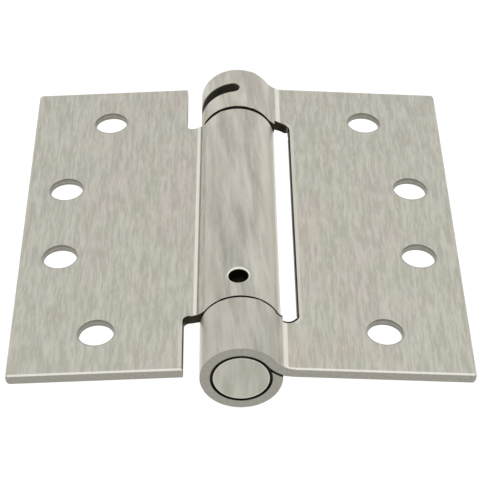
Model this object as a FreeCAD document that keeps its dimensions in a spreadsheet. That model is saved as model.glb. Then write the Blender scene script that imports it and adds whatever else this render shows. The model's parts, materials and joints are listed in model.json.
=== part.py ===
import FreeCAD, Part
import math
import os
import re

from FreeCAD import Placement, Rotation, Vector
import Sketcher

# Spring door hinge with three knuckles, open almost flat.
# The pin axis is Y, with the spring's tension collar at the +Y end and the pinned anchor towards -Y.
# The jamb leaf lies flat along +X, and +Z is the side that sits against the jamb.
# The origin is the middle of the pin axis. All sizes are in millimetres and degrees.

DRIVING = {
    # Sheet of both leaves
    "leaf_height": 114.3,  # along the pin
    "leaf_width": 57.15,  # from the pin axis to the outer edge
    "sheet_gauge": 2.7,
    "barrel_radius": 10.2,
    "seat_height": 3.7,  # seating face above the pin axis
    "bend_radius": 6.0,  # hollow between barrel and seating face
    "seam_gap": 0.35,  # between the roll's end and the bend
    "door_droop": 5.76,  # how far the door leaf is short of flat, degrees
    # Knuckles
    "upper_knuckle": 17.5,
    "lower_knuckle": 18.2,
    "upper_play": 1.2,
    "lower_play": 0.5,
    "plate_setback": 14.05,  # plate edge beside the other leaf's knuckle
    "relief_radius": 3.6,
    "relief_bulge": 0.15,  # past the plate's edge
    "relief_inner": 10.25,  # relief's side towards the pin, just clear of the barrel
    "relief_overrun": 2.2,  # relief's end past the centre knuckle's face
    "notch_radius": 1.5,  # inner corners of the door leaf's notches
    "corner_radius": 1.0,
    # Screw holes
    "screw_hole": 9.3,
    "sink_mouth": 10.8,
    "sink_angle": 82.0,
    "near_row_inset": 21.47,  # from the outer edge
    "near_row_end": 14.34,  # from the leaf's ends
    "far_row_inset": 10.57,  # from the outer edge
    "far_row_spread": 27.58,  # between its two holes
    # Tension slot and anchor pin
    "slot_end": 8.55,  # from the barrel's end
    "slot_width": 4.0,
    "slot_sweep": 100.0,
    "pin_end": 7.55,  # from the centre knuckle's lower end
    "pin_hole": 4.9,
    "pin_hole_break": 0.5,
    "pin_sink": 0.5,  # pin's end under the barrel's surface
    "pin_head_gap": 0.6,  # pin's other end under the bore
    # Turned pieces in the barrel
    "running_gap": 0.08,
    "face_gap": 0.1,
    "bush_wall": 1.22,
    "bush_length": 9.0,
    "flange_inset": 0.5,
    "lower_flange": 0.4,
    "upper_flange": 0.6,
    "plug_length": 3.6,
    "plug_groove": 0.6,
    "plug_groove_depth": 0.7,
    "collar_end_gap": 0.3,
    "collar_neck": 13.7,
    "anchor_body": 14.0,
    "anchor_journal": 12.6,
    "key_holes": 5,
    "key_hole": 3.4,
    "key_depth": 4.4,
    "key_angle": -40.0,
    # Torsion spring
    "wire": 2.9,
    "coil_gap": 0.7,  # between turns, before it is shared out over whole turns
    "spring_steps": 16,  # straight steps in each turn
    "spring_bore_gap": 0.5,
    "spring_end_gap": 0.2,
    "pilot_gap": 0.2,
    "pilot_length": 4.0,
    "tang_length": 2.6,
    "tang_gap": 0.15,
}

# Sizes that follow from the driving ones, as formulas of the same sheet
DERIVED = {
    "bore_radius": "barrel_radius - sheet_gauge",
    "inner_face": "seat_height - sheet_gauge",
    "half_height": "leaf_height / 2",
    "upper_face": "half_height - upper_knuckle",
    "lower_face": "lower_knuckle - half_height",
    "centre_top": "upper_face - upper_play",
    "centre_bottom": "lower_face + lower_play",
    "bend_rise": "seat_height + bend_radius",
    "bend_reach": "sqrt((barrel_radius + bend_radius) ^ 2 - bend_rise ^ 2)",
    "seam_radius": "bend_radius + sheet_gauge + seam_gap",
    "relief_reach": "plate_setback + relief_bulge - relief_radius",
    "upper_relief": "centre_top + relief_overrun - relief_radius",
    "lower_relief": "centre_bottom - relief_overrun + relief_radius",
    "notch_reach": "plate_setback - notch_radius",
    "upper_corner": "-centre_top - notch_radius",
    "lower_corner": "-centre_bottom + notch_radius",
    "near_row_reach": "leaf_width - near_row_inset",
    "near_row_spread": "leaf_height - 2 * near_row_end",
    "far_row_reach": "leaf_width - far_row_inset",
    "slot_place": "half_height - slot_end",
    "pin_place": "-centre_bottom - pin_end",
    "slot_end_angle": "asin(slot_width / 2 / barrel_radius) / 1 deg",
    "bush_bore": "bore_radius - bush_wall",
    "journal_radius": "bush_bore - running_gap",
    "body_radius": "bore_radius - running_gap",
    "flange_radius": "barrel_radius - flange_inset",
    "washer_bottom": "centre_top + upper_flange + face_gap",
    "upper_bush_end": "centre_top - bush_length",
    "lower_bush_end": "lower_face - bush_length",
    "plug_face_radius": "bore_radius - plug_groove",
    "plug_groove_end": "half_height - plug_groove_depth",
    "plug_inner": "half_height - plug_length",
    "collar_shoulder": "upper_face + face_gap",
    "collar_end": "plug_inner - collar_end_gap",
    "collar_tip": "collar_shoulder - collar_neck",
    "anchor_shoulder": "centre_bottom + face_gap",
    "anchor_top": "anchor_shoulder + anchor_body",
    "anchor_end": "anchor_shoulder - anchor_journal",
    "spring_outer": "bore_radius - spring_bore_gap",
    "spring_inner": "spring_outer - wire",
    "pilot_radius": "spring_inner - pilot_gap",
    "anchor_pilot_end": "anchor_top + pilot_length",
    "collar_pilot_end": "collar_tip - pilot_length",
    "spring_bottom": "anchor_top + spring_end_gap",
    "spring_top": "collar_tip - spring_end_gap",
    "coil_travel": "spring_top - spring_bottom - wire",
    "spring_turns": "round(coil_travel / (wire + coil_gap))",
    "spring_pitch": "coil_travel / spring_turns",
}

doc = FreeCAD.newDocument("spring_hinge")
sheet = doc.addObject("Spreadsheet::Sheet", "Sizes")
for row, (alias, number) in enumerate(DRIVING.items(), start=1):
    sheet.set(f"A{row}", alias)
    sheet.set(f"B{row}", str(number))
    sheet.setAlias(f"B{row}", alias)
for row, (alias, formula) in enumerate(DERIVED.items(), start=1):
    sheet.set(f"D{row}", alias)
    sheet.setAlias(f"E{row}", alias)
    sheet.set(f"E{row}", f"={formula}")
doc.recompute()


def size(alias):
    """One size of the sheet, as a plain number."""
    cell = getattr(sheet, alias)
    return float(getattr(cell, "Value", cell))


def origin_part(body, role):
    """The body's own origin plane or axis that has this role."""
    return next(part for part in body.Origin.OriginFeatures if part.Role == role)


def new_body(label):
    """An empty body whose label names the piece."""
    body = doc.addObject("PartDesign::Body", label)
    body.Label = label
    return body


def new_sketch(body, name, plane):
    """A sketch on one of the body's origin planes."""
    sketch = body.newObject("Sketcher::SketchObject", name)
    sketch.AttachmentSupport = [(origin_part(body, plane), "")]
    sketch.MapMode = "FlatFace"
    return sketch


def bind(sketch, constraint, expression):
    """Adds a constraint to the sketch and ties its size to the sheet."""
    index = sketch.addConstraint(constraint)
    sketch.setExpression(f"Constraints[{index}]", expression)


def closed_outline(sketch, corners):
    """Straight lines round corners, each held by two expressions (None: on the sketch's vertical axis)."""
    places = [
        Vector(0.0 if across is None else sheet.evalExpression(across), sheet.evalExpression(along), 0)
        for across, along in corners
    ]
    lines = [
        sketch.addGeometry(Part.LineSegment(start, end), False)
        for start, end in zip(places, places[1:] + places[:1])
    ]
    for line, following in zip(lines, lines[1:] + lines[:1]):
        sketch.addConstraint(Sketcher.Constraint("Coincident", line, 2, following, 1))
    for line, place, (across, along) in zip(lines, places, corners):
        if across is None:
            sketch.addConstraint(Sketcher.Constraint("PointOnObject", line, 1, -2))
        else:
            bind(sketch, Sketcher.Constraint("DistanceX", -1, 1, line, 1, place.x), tied(across))
        bind(sketch, Sketcher.Constraint("DistanceY", -1, 1, line, 1, place.y), tied(along))


def tied(formula):
    """A formula of sheet aliases, written as another object of the document reads it."""
    return re.sub(r"[a-z]\w+", lambda word: f"Sizes.{word.group()}", formula)


def subtract(body, kind, name, placement, **sizes):
    """A primitive cut out of the body, its sizes tied to the sheet."""
    cut = body.newObject(f"PartDesign::Subtractive{kind}", name)
    cut.Placement = placement
    for key, formula in sizes.items():
        cut.setExpression(key, tied(formula))
    return cut


def radial(angle, along, out=0.0):
    """Placement whose own Z points away from the pin axis, angle degrees from +Z towards +X."""
    turn = Rotation(Vector(0, 1, 0), angle)
    return Placement(Vector(0, along, 0) + turn.multVec(Vector(0, 0, out)), turn)


def edges_of(feature, chosen):
    """Names of the feature's edges that the test picks."""
    return [f"Edge{i}" for i, edge in enumerate(feature.Shape.Edges, start=1) if chosen(edge)]


def rolled_section(body):
    """Section of a leaf: flat plate, hollow bend and an almost closed roll, all of one gauge."""
    sketch = new_sketch(body, "Section", "XZ_Plane")
    barrel, bore = size("barrel_radius"), size("bore_radius")
    bend, gauge, width = size("bend_radius"), size("sheet_gauge"), size("leaf_width")
    seat, inner = size("seat_height"), size("inner_face")
    centre = Vector(size("bend_reach"), size("bend_rise"), 0)
    axis = Vector(0, 0, 1)
    # Direction from the pin axis to the bend's centre, where bend and barrel touch
    lean = math.atan2(centre.y, centre.x)
    turn = 2 * math.pi

    def seam_angle(radius):
        """Angle about the pin axis at which the seam's arc crosses a circle of this radius."""
        far = centre.Length
        cosine = (radius**2 + far**2 - size("seam_radius") ** 2) / (2 * radius * far)
        return lean - math.acos(cosine)

    def about_bend(angle, radius):
        """Angle about the bend's centre of a point given about the pin axis."""
        place = Vector(radius * math.cos(angle), radius * math.sin(angle), 0) - centre
        return math.atan2(place.y, place.x) % turn

    def arc(middle, radius, start, end):
        return Part.ArcOfCircle(Part.Circle(middle, axis, radius), start, end)

    down = 1.5 * math.pi
    inner_end, outer_end = seam_angle(bore), seam_angle(barrel)
    top, edge, under, inner_bend, bore_arc, seam, barrel_arc, hollow = range(8)
    sketch.addGeometry(
        [
            Part.LineSegment(Vector(centre.x, seat, 0), Vector(width, seat, 0)),
            Part.LineSegment(Vector(width, seat, 0), Vector(width, inner, 0)),
            Part.LineSegment(Vector(width, inner, 0), Vector(centre.x, inner, 0)),
            arc(centre, bend + gauge, math.pi + lean, down),
            arc(Vector(), bore, lean, inner_end + turn),
            arc(centre, size("seam_radius"), about_bend(inner_end, bore), about_bend(outer_end, barrel)),
            arc(Vector(), barrel, lean, outer_end + turn),
            arc(centre, bend, math.pi + lean, down),
        ],
        False,
    )
    sketch.addConstraint(
        [
            Sketcher.Constraint("Coincident", top, 2, edge, 1),
            Sketcher.Constraint("Coincident", edge, 2, under, 1),
            Sketcher.Constraint("Tangent", under, 2, inner_bend, 2),
            Sketcher.Constraint("Tangent", inner_bend, 1, bore_arc, 1),
            Sketcher.Constraint("Coincident", bore_arc, 2, seam, 1),
            Sketcher.Constraint("Coincident", seam, 2, barrel_arc, 2),
            Sketcher.Constraint("Tangent", barrel_arc, 1, hollow, 1),
            Sketcher.Constraint("Tangent", hollow, 2, top, 1),
            Sketcher.Constraint("Coincident", bore_arc, 3, -1, 1),
            Sketcher.Constraint("Coincident", barrel_arc, 3, -1, 1),
            Sketcher.Constraint("Coincident", inner_bend, 3, hollow, 3),
            Sketcher.Constraint("Coincident", seam, 3, hollow, 3),
            Sketcher.Constraint("Horizontal", top),
            Sketcher.Constraint("Vertical", edge),
            Sketcher.Constraint("Horizontal", under),
        ]
    )
    bind(sketch, Sketcher.Constraint("Radius", barrel_arc, barrel), "Sizes.barrel_radius")
    bind(sketch, Sketcher.Constraint("Radius", bore_arc, bore), "Sizes.bore_radius")
    bind(sketch, Sketcher.Constraint("Radius", hollow, bend), "Sizes.bend_radius")
    bind(sketch, Sketcher.Constraint("Radius", seam, size("seam_radius")), "Sizes.seam_radius")
    bind(sketch, Sketcher.Constraint("DistanceY", -1, 1, top, 2, seat), "Sizes.seat_height")
    bind(sketch, Sketcher.Constraint("DistanceX", -1, 1, top, 2, width), "Sizes.leaf_width")
    return sketch


def rolled_leaf(label):
    """A leaf rolled from sheet, its barrel still in one length."""
    body = new_body(label)
    roll = body.newObject("PartDesign::Pad", "Roll")
    roll.Profile = rolled_section(body)
    roll.Midplane = True
    roll.setExpression("Length", "Sizes.leaf_height")
    doc.recompute()
    return body


def window(body, name, low, high, reach="plate_setback"):
    """Cuts barrel and plate root away between two places along the pin, as far out as the reach."""
    sketch = new_sketch(body, name, "XY_Plane")
    back = "-2 * barrel_radius"
    closed_outline(sketch, [(back, low), (reach, low), (reach, high), (back, high)])
    pocket = body.newObject("PartDesign::Pocket", f"{name}Cut")
    pocket.Profile = sketch
    pocket.Midplane = True
    pocket.setExpression("Length", "4 * Sizes.barrel_radius")
    doc.recompute()


def screw_holes(body):
    """Four countersunk holes in two staggered rows, sunk from the inner face."""
    sketch = new_sketch(body, "Screws", "XY_Plane")
    sketch.AttachmentOffset = Placement(Vector(0, 0, size("inner_face")), Rotation())
    sketch.setExpression("AttachmentOffset.Base.z", "Sizes.inner_face")
    for row in ("near", "far"):
        reach, half = size(f"{row}_row_reach"), size(f"{row}_row_spread") / 2
        for way, sign in (("", 1), ("-", -1)):
            place = Vector(reach, sign * half, 0)
            ring = sketch.addGeometry(Part.Circle(place, Vector(0, 0, 1), size("screw_hole") / 2), False)
            bind(sketch, Sketcher.Constraint("Radius", ring, size("screw_hole") / 2), "Sizes.screw_hole / 2")
            bind(sketch, Sketcher.Constraint("DistanceX", -1, 1, ring, 3, place.x), f"Sizes.{row}_row_reach")
            along = f"{way}Sizes.{row}_row_spread / 2"
            bind(sketch, Sketcher.Constraint("DistanceY", -1, 1, ring, 3, place.y), along)
    doc.recompute()
    hole = body.newObject("PartDesign::Hole", "ScrewHoles")
    hole.Profile = sketch
    hole.Reversed = True
    hole.ThreadType = "None"
    hole.DepthType = "ThroughAll"
    hole.setExpression("Diameter", "Sizes.screw_hole")
    hole.HoleCutType = "Countersink"
    hole.setExpression("HoleCutDiameter", "Sizes.sink_mouth")
    hole.setExpression("HoleCutCountersinkAngle", "Sizes.sink_angle")
    doc.recompute()


def rounded_corners(body):
    """Rounds the two outer corners of the plate, seen from above."""
    edge_x, edge_y = size("leaf_width"), size("half_height")

    def at_corner(edge):
        ends = [vertex.Point for vertex in edge.Vertexes]
        return all(abs(p.x - edge_x) < 1e-4 and abs(abs(p.y) - edge_y) < 1e-4 for p in ends)

    base = body.Tip
    corners = body.newObject("PartDesign::Fillet", "Corners")
    corners.Base = (base, edges_of(base, at_corner))
    corners.setExpression("Radius", "Sizes.corner_radius")
    doc.recompute()


def jamb_leaf():
    """Leaf with the two end knuckles, the tension slot and the relief beside the centre knuckle."""
    body = rolled_leaf("jamb_leaf")
    window(body, "CentreWindow", "lower_face", "upper_face")
    below, high = -size("barrel_radius"), "2 * barrel_radius"
    for name, along, side in (("UpperRelief", "upper_relief", 0), ("LowerRelief", "lower_relief", -1)):
        # Half a round beside the plate, and a straight end from there to the barrel
        half_round = Placement(Vector(size("relief_reach"), size(along), below), Rotation(Vector(0, 0, 1), -90))
        subtract(body, "Cylinder", name, half_round, Radius="relief_radius", Height=high, Angle="180")
        start = size(along) + side * size("relief_radius")
        straight = Placement(Vector(size("relief_inner"), start, below), Rotation())
        run = "relief_reach - relief_inner"
        subtract(body, "Box", f"{name}End", straight, Length=run, Width="relief_radius", Height=high)
    # The slot's tip lies on the leaf's own normal, and it runs away from the plate
    inset = size("slot_end_angle")
    first, last = -inset, inset - size("slot_sweep")
    along = size("slot_place") - size("slot_width") / 2
    upright = Rotation(Vector(1, 0, 0), -90) * Rotation(Vector(0, 0, 1), last - 90)
    sector = Placement(Vector(0, along, 0), upright)
    sweep = "slot_sweep - 2 * slot_end_angle"
    subtract(body, "Cylinder", "Slot", sector, Radius="barrel_radius + 1", Height="slot_width", Angle=sweep)
    for name, angle in (("SlotTip", first), ("SlotTail", last)):
        place = radial(angle, size("slot_place"))
        subtract(body, "Cylinder", name, place, Radius="slot_width / 2", Height="barrel_radius + 1")
    doc.recompute()
    rounded_corners(body)
    screw_holes(body)
    return body


def door_leaf():
    """Leaf with the centre knuckle. It is made like the jamb leaf, then turned about and let down."""
    body = rolled_leaf("door_leaf")
    long = 2 * size("barrel_radius")
    # In its own frame its ends are swapped along the pin
    for name, outside, corner, inside in (
        ("UpperNotch", "-2 * half_height", "upper_corner", "-centre_top"),
        ("LowerNotch", "2 * half_height", "lower_corner", "-centre_bottom"),
    ):
        window(body, name, outside, corner)
        window(body, f"{name}End", corner, inside, "notch_reach")
        place = Placement(Vector(size("notch_reach"), size(corner), -long / 2), Rotation())
        subtract(body, "Cylinder", f"{name}Corner", place, Radius="notch_radius", Height="2 * barrel_radius")
    along = size("pin_place")
    across = radial(0, along, -long / 2)
    subtract(body, "Cylinder", "PinHole", across, Radius="pin_hole / 2", Height="2 * barrel_radius")
    rim = radial(0, along, size("barrel_radius") - size("pin_hole_break"))
    subtract(
        body,
        "Cone",
        "PinHoleRim",
        rim,
        Radius1="pin_hole / 2",
        Radius2="pin_hole / 2 + 2 * pin_hole_break",
        Height="2 * pin_hole_break",
    )
    doc.recompute()
    rounded_corners(body)
    screw_holes(body)
    body.Placement = Placement(Vector(), down_from_flat * Rotation(Vector(0, 0, 1), 180))
    return body


def turned(label, corners):
    """A piece turned about the pin axis, from its corners as radius and place along the pin."""
    body = new_body(label)
    sketch = new_sketch(body, "Profile", "XY_Plane")
    closed_outline(sketch, corners)
    revolution = body.newObject("PartDesign::Revolution", "Turned")
    revolution.Profile = sketch
    revolution.ReferenceAxis = (origin_part(body, "Y_Axis"), [""])
    revolution.Angle = 360
    doc.recompute()
    return body


def end_plug(label, way):
    """Plug pressed into an end knuckle, flush, with a ring groove round its face."""
    return turned(
        label,
        [
            (None, f"{way}plug_inner"),
            ("bore_radius", f"{way}plug_inner"),
            ("bore_radius", f"{way}plug_groove_end"),
            ("plug_face_radius", f"{way}plug_groove_end"),
            ("plug_face_radius", f"{way}half_height"),
            (None, f"{way}half_height"),
        ],
    )


def bush(label, face, flange_end, sleeve_end):
    """Flanged bush: its sleeve is pressed into a knuckle and its flange fills the gap beside it."""
    return turned(
        label,
        [
            ("bush_bore", sleeve_end),
            ("bore_radius", sleeve_end),
            ("bore_radius", face),
            ("flange_radius", face),
            ("flange_radius", flange_end),
            ("bush_bore", flange_end),
        ],
    )


def thrust_washer():
    """Plain washer between the upper bush's flange and the upper knuckle."""
    return turned(
        "thrust_washer",
        [
            ("bush_bore", "washer_bottom"),
            ("flange_radius", "washer_bottom"),
            ("flange_radius", "upper_face"),
            ("bush_bore", "upper_face"),
        ],
    )


def tang_notch(body, name, low):
    """Open notch in the end of a turned piece that takes the spring's tang."""
    side = size("wire") + 2 * size("tang_gap")
    inner = size("spring_inner") - size("tang_gap")
    corner = Placement(Vector(inner, low, -side / 2), Rotation())
    subtract(
        body,
        "Box",
        name,
        corner,
        Length="bore_radius",
        Width="tang_length + tang_gap",
        Height="wire + 2 * tang_gap",
    )
    doc.recompute()


def tension_collar():
    """Upper pintle: head in the upper knuckle with radial key holes, neck down to the spring."""
    body = turned(
        "tension_collar",
        [
            (None, "collar_pilot_end"),
            ("pilot_radius", "collar_pilot_end"),
            ("pilot_radius", "collar_tip"),
            ("journal_radius", "collar_tip"),
            ("journal_radius", "collar_shoulder"),
            ("body_radius", "collar_shoulder"),
            ("body_radius", "collar_end"),
            (None, "collar_end"),
        ],
    )
    tang_notch(body, "TangNotch", size("collar_tip"))
    mouth = radial(size("key_angle"), size("slot_place"), size("body_radius") - size("key_depth"))
    key = subtract(body, "Cylinder", "KeyHole", mouth, Radius="key_hole / 2", Height="key_depth + 1")
    doc.recompute()
    ring = body.newObject("PartDesign::PolarPattern", "KeyHoles")
    ring.Originals = [key]
    ring.Axis = (origin_part(body, "Y_Axis"), [""])
    ring.Angle = 360
    ring.Occurrences = int(size("key_holes"))
    body.Tip = ring
    doc.recompute()
    body.Placement = Placement(Vector(), down_from_flat)
    return body


def spring_anchor():
    """Lower pintle: body pinned in the centre knuckle, journal down into the lower knuckle."""
    body = turned(
        "spring_anchor",
        [
            (None, "anchor_end"),
            ("journal_radius", "anchor_end"),
            ("journal_radius", "anchor_shoulder"),
            ("body_radius", "anchor_shoulder"),
            ("body_radius", "anchor_top"),
            ("pilot_radius", "anchor_top"),
            ("pilot_radius", "anchor_pilot_end"),
            (None, "anchor_pilot_end"),
        ],
    )
    tang_notch(body, "TangNotch", size("anchor_top") - size("tang_length") - size("tang_gap"))
    across = radial(0, -size("pin_place"), -size("barrel_radius"))
    subtract(body, "Cylinder", "CrossHole", across, Radius="pin_hole / 2", Height="2 * barrel_radius")
    doc.recompute()
    body.Placement = Placement(Vector(), down_from_flat)
    return body


def anchor_pin():
    """Pin through the lower wall of the centre knuckle and the anchor, short of the upper wall."""
    pin = doc.addObject("Part::Cylinder", "anchor_pin")
    pin.Label = "anchor_pin"
    pin.setExpression("Radius", "Sizes.pin_hole / 2")
    pin.setExpression("Height", "Sizes.barrel_radius - Sizes.pin_sink + Sizes.bore_radius - Sizes.pin_head_gap")
    foot = radial(0, -size("pin_place"), size("pin_sink") - size("barrel_radius"))
    pin.Placement = Placement(Vector(), down_from_flat) * foot
    return pin


def torsion_spring():
    """Square wire coiled about the pin axis in short straight steps, with a tang along the pin at each end.

    Each step turns the wire's square section about the pin and lifts it by its share of the pitch. The coil
    winds so that it tightens as the door leaf opens.
    """
    steps, turns = int(size("spring_steps")), int(size("spring_turns"))
    low, wire, tang = size("spring_bottom"), size("wire"), size("tang_length")
    inner, outer = size("spring_inner"), size("spring_outer")

    def section(step):
        """Corners of the wire's section after so many steps."""
        about_pin = Rotation(Vector(0, 1, 0), -360 * step / steps)
        rise = low + size("spring_pitch") * step / steps
        corners = ((inner, 0), (outer, 0), (outer, wire), (inner, wire))
        return [about_pin.multVec(Vector(radius, rise + up, 0)) for radius, up in corners]

    def flat(*corners):
        return Part.Face(Part.makePolygon([*corners, corners[0]]))

    sections = [section(step) for step in range(steps * turns + 1)]
    faces = [flat(*reversed(sections[0])), flat(*sections[-1])]
    for near, far in zip(sections, sections[1:]):
        for side in range(len(near)):
            faces.append(flat(near[side - 1], near[side], far[side]))
            faces.append(flat(near[side - 1], far[side], far[side - 1]))
    coil = Part.Solid(Part.makeShell(faces))
    for low_end in (low - tang, size("spring_top") - wire):
        coil = coil.fuse(Part.makeBox(wire, wire + tang, wire, Vector(inner, low_end, -wire / 2)))
    spring = doc.addObject("Part::Feature", "torsion_spring")
    spring.Label = "torsion_spring"
    spring.Shape = coil.Solids[0]
    spring.Placement = Placement(Vector(), down_from_flat)
    return spring


down_from_flat = Rotation(Vector(0, 1, 0), -size("door_droop"))

pieces = [
    jamb_leaf(),
    door_leaf(),
    torsion_spring(),
    tension_collar(),
    spring_anchor(),
    anchor_pin(),
    bush("upper_bush", "centre_top", "centre_top + upper_flange", "upper_bush_end"),
    bush("lower_bush", "lower_face", "lower_face + lower_flange", "lower_bush_end"),
    thrust_washer(),
    end_plug("upper_plug", ""),
    end_plug("lower_plug", "-"),
]
doc.recompute()

for item in doc.Objects:
    if "Invalid" in item.State or "Error" in item.State:
        raise RuntimeError(f"{item.Name} did not compute: {item.State}")
for piece in pieces:
    if piece.Shape.isNull() or not piece.Shape.isValid() or len(piece.Shape.Solids) != 1:
        raise RuntimeError(f"{piece.Label} is not one valid solid")

os.makedirs("parts", exist_ok=True)
for piece in pieces:
    piece.Shape.exportStep(f"parts/{piece.Label}.step")
    box = piece.Shape.BoundBox
    print(piece.Label, round(piece.Shape.Volume, 1), box)
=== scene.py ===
"""Looks of the spring door hinge: brushed satin leaves with painted light and shade, dark inner works, a pale
floor and the camera.

Lengths are in metres, in the hinge's own frame: +Y runs along the pin, +X out over the jamb leaf, and +Z
out of the jamb leaf's seating face. The sizes of a leaf below are in millimetres, and so is all that works
in a leaf's own flat frame or in a shader group.
"""

import json
import math
from functools import partial, reduce
from types import SimpleNamespace

import bmesh
import bpy
import numpy as np
from mathutils import Matrix, Vector


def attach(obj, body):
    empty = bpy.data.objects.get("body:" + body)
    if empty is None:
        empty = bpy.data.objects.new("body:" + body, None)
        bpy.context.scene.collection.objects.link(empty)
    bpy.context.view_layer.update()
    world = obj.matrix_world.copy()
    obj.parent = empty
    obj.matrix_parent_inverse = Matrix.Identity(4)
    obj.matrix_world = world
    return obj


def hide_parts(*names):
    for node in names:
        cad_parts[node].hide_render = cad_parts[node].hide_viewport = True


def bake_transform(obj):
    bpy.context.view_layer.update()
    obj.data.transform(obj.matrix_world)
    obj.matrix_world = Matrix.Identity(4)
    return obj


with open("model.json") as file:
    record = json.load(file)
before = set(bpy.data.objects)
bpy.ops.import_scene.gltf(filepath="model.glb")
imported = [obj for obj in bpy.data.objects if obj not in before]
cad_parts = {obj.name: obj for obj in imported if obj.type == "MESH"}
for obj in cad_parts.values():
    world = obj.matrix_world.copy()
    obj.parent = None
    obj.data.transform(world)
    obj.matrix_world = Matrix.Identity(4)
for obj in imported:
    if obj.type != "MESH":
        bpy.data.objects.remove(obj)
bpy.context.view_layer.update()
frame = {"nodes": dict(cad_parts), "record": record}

DROOP = math.radians(5.76)  # how far the door leaf is short of flat
DOOR_TURN = (0, DROOP, math.pi)  # from the row frame into the door leaf's own

# A leaf in its own flat frame, in millimetres: x out from the pin, y along it, z up to the seating face
mounts = {mount["name"]: mount for mount in frame["record"]["mounts"]}
REACH, HALF_HEIGHT = 57.15, 57.15
SEAT = 1000 * mounts["jamb_seat"]["pos_m"][2]
BARREL, BORE, GAUGE, SETBACK = 10.2, 7.5, 2.7, 14.05
UNDERSIDE, MID_SHEET = SEAT - GAUGE, SEAT - GAUGE / 2

# Hollow bend, the sheet's other side round it, and the roll's end past the seam
BEND = 6.0
BEND_RISE = SEAT + BEND
BEND_REACH = math.sqrt((BARREL + BEND) ** 2 - BEND_RISE**2)
UNDER_BEND = BEND + GAUGE
SEAM = UNDER_BEND + 0.35

# Radius, reach and place of the rounded corners beside the centre knuckle, whose ends are at +-CENTRE_END
CENTRE_END = 38.45
LOWER_FACE = CENTRE_END + 0.5
RELIEF = 3.6
RELIEF_REACH, RELIEF_PLACE = SETBACK + 0.15 - RELIEF, CENTRE_END + 2.2 - RELIEF
NOTCH = 1.5
NOTCH_REACH, NOTCH_PLACE = SETBACK - NOTCH, CENTRE_END + NOTCH

# Screws: reach from the pin and place along it, on both sides of mid-height
SCREWS = tuple(
    (1000 * mounts[row]["pos_m"][0], mounts[row]["dims"]["pcd_mm"] / 2)
    for row in ("jamb_screws_near", "jamb_screws_far")
)
SCREW_HOLE = mounts["jamb_screws_near"]["dims"]["hole_r_mm"]
PIN_HOLE, PIN_PLACE = 2.45, CENTRE_END - 7.55
SLOT_HALF, SLOT_PLACE = 2.0, HALF_HEIGHT - 8.55


# Node wiring


def put(tree, kind, inputs=None, **settings):
    """A node of this kind with its settings, each input linked or set by its name or number."""
    node = tree.nodes.new(kind)
    for key, value in settings.items():
        setattr(node, key, value)
    for key, value in (inputs or {}).items():
        if isinstance(value, bpy.types.NodeSocket):
            tree.links.new(value, node.inputs[key])
        else:
            node.inputs[key].default_value = value
    return node


def reckon(tree, operation, *values, clamp=False):
    """One arithmetic step on values or sockets."""
    inputs = dict(enumerate(values))
    return put(tree, "ShaderNodeMath", inputs, operation=operation, use_clamp=clamp).outputs[0]


def both(tree, *shares):
    """The product of shares, which is 1 where all of them are 1."""
    return reduce(partial(reckon, tree, "MULTIPLY"), shares)


def either(tree, *shares):
    """The largest of shares."""
    return reduce(partial(reckon, tree, "MAXIMUM"), shares)


def minus(tree, value, other):
    """value - other."""
    return reckon(tree, "SUBTRACT", value, other)


def linear(tree, value, start, slope):
    """start + slope value."""
    return reckon(tree, "MULTIPLY_ADD", value, slope, start)


def apart(tree, value, other):
    """|value - other|."""
    return reckon(tree, "ABSOLUTE", minus(tree, value, other))


def beyond(tree, value, limit, operation="MAXIMUM"):
    """How far a value lies past a limit, or 0 on the limit's other side. MINIMUM turns the sides round."""
    return reckon(tree, operation, minus(tree, value, limit), 0.0)


def ramp(tree, value, low, high):
    """0 up to low, 1 from high on, and a smooth rise between. It falls instead where low is above high."""
    inputs = {"Value": value, "From Min": low, "From Max": high}
    return put(tree, "ShaderNodeMapRange", inputs, interpolation_type="SMOOTHSTEP").outputs["Result"]


def split(tree, vector):
    """The three parts of a vector."""
    return put(tree, "ShaderNodeSeparateXYZ", {0: vector}).outputs


def joined(tree, *parts):
    """The vector that has these parts."""
    return put(tree, "ShaderNodeCombineXYZ", dict(enumerate(parts))).outputs[0]


def length_of(tree, *parts):
    """Length of the vector that has these parts."""
    vector = joined(tree, *parts)
    return put(tree, "ShaderNodeVectorMath", {0: vector}, operation="LENGTH").outputs["Value"]


def noise(tree, place, scale, **inputs):
    """A cloudy value between 0 and 1, in waves about 1 / scale wide."""
    return put(tree, "ShaderNodeTexNoise", {"Vector": place, "Scale": scale, **inputs}).outputs["Fac"]


def blend(tree, share, first, second):
    """Two colours mixed by a share."""
    return put(tree, "ShaderNodeMix", {0: share, 6: first, 7: second}, data_type="RGBA").outputs[2]


def coat(tree, under, share, strength, tint):
    """A tint laid over a colour where share is 1, as strongly as strength says."""
    return blend(tree, reckon(tree, "MULTIPLY", share, strength), under, tint)


def new_group(name, inputs, outputs):
    """An empty shader group and its two end nodes. Inputs are (name, kind) pairs, and outputs are values."""
    tree = bpy.data.node_groups.new(name, "ShaderNodeTree")
    for label, kind in inputs:
        tree.interface.new_socket(name=label, in_out="INPUT", socket_type=f"NodeSocket{kind}")
    for label in outputs:
        tree.interface.new_socket(name=label, in_out="OUTPUT", socket_type="NodeSocketFloat")
    return tree, tree.nodes.new("NodeGroupInput"), tree.nodes.new("NodeGroupOutput")


def give(tree, made, results):
    """A group's results, linked to its outputs by name."""
    for name, result in results.items():
        tree.links.new(result, made.inputs[name])
    return tree


def use_group(tree, group, inputs):
    """The outputs of a group placed in a tree, with its inputs linked or set."""
    return put(tree, "ShaderNodeGroup", inputs, node_tree=group).outputs


# Grain, and painted highlights on the arrises


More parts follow.
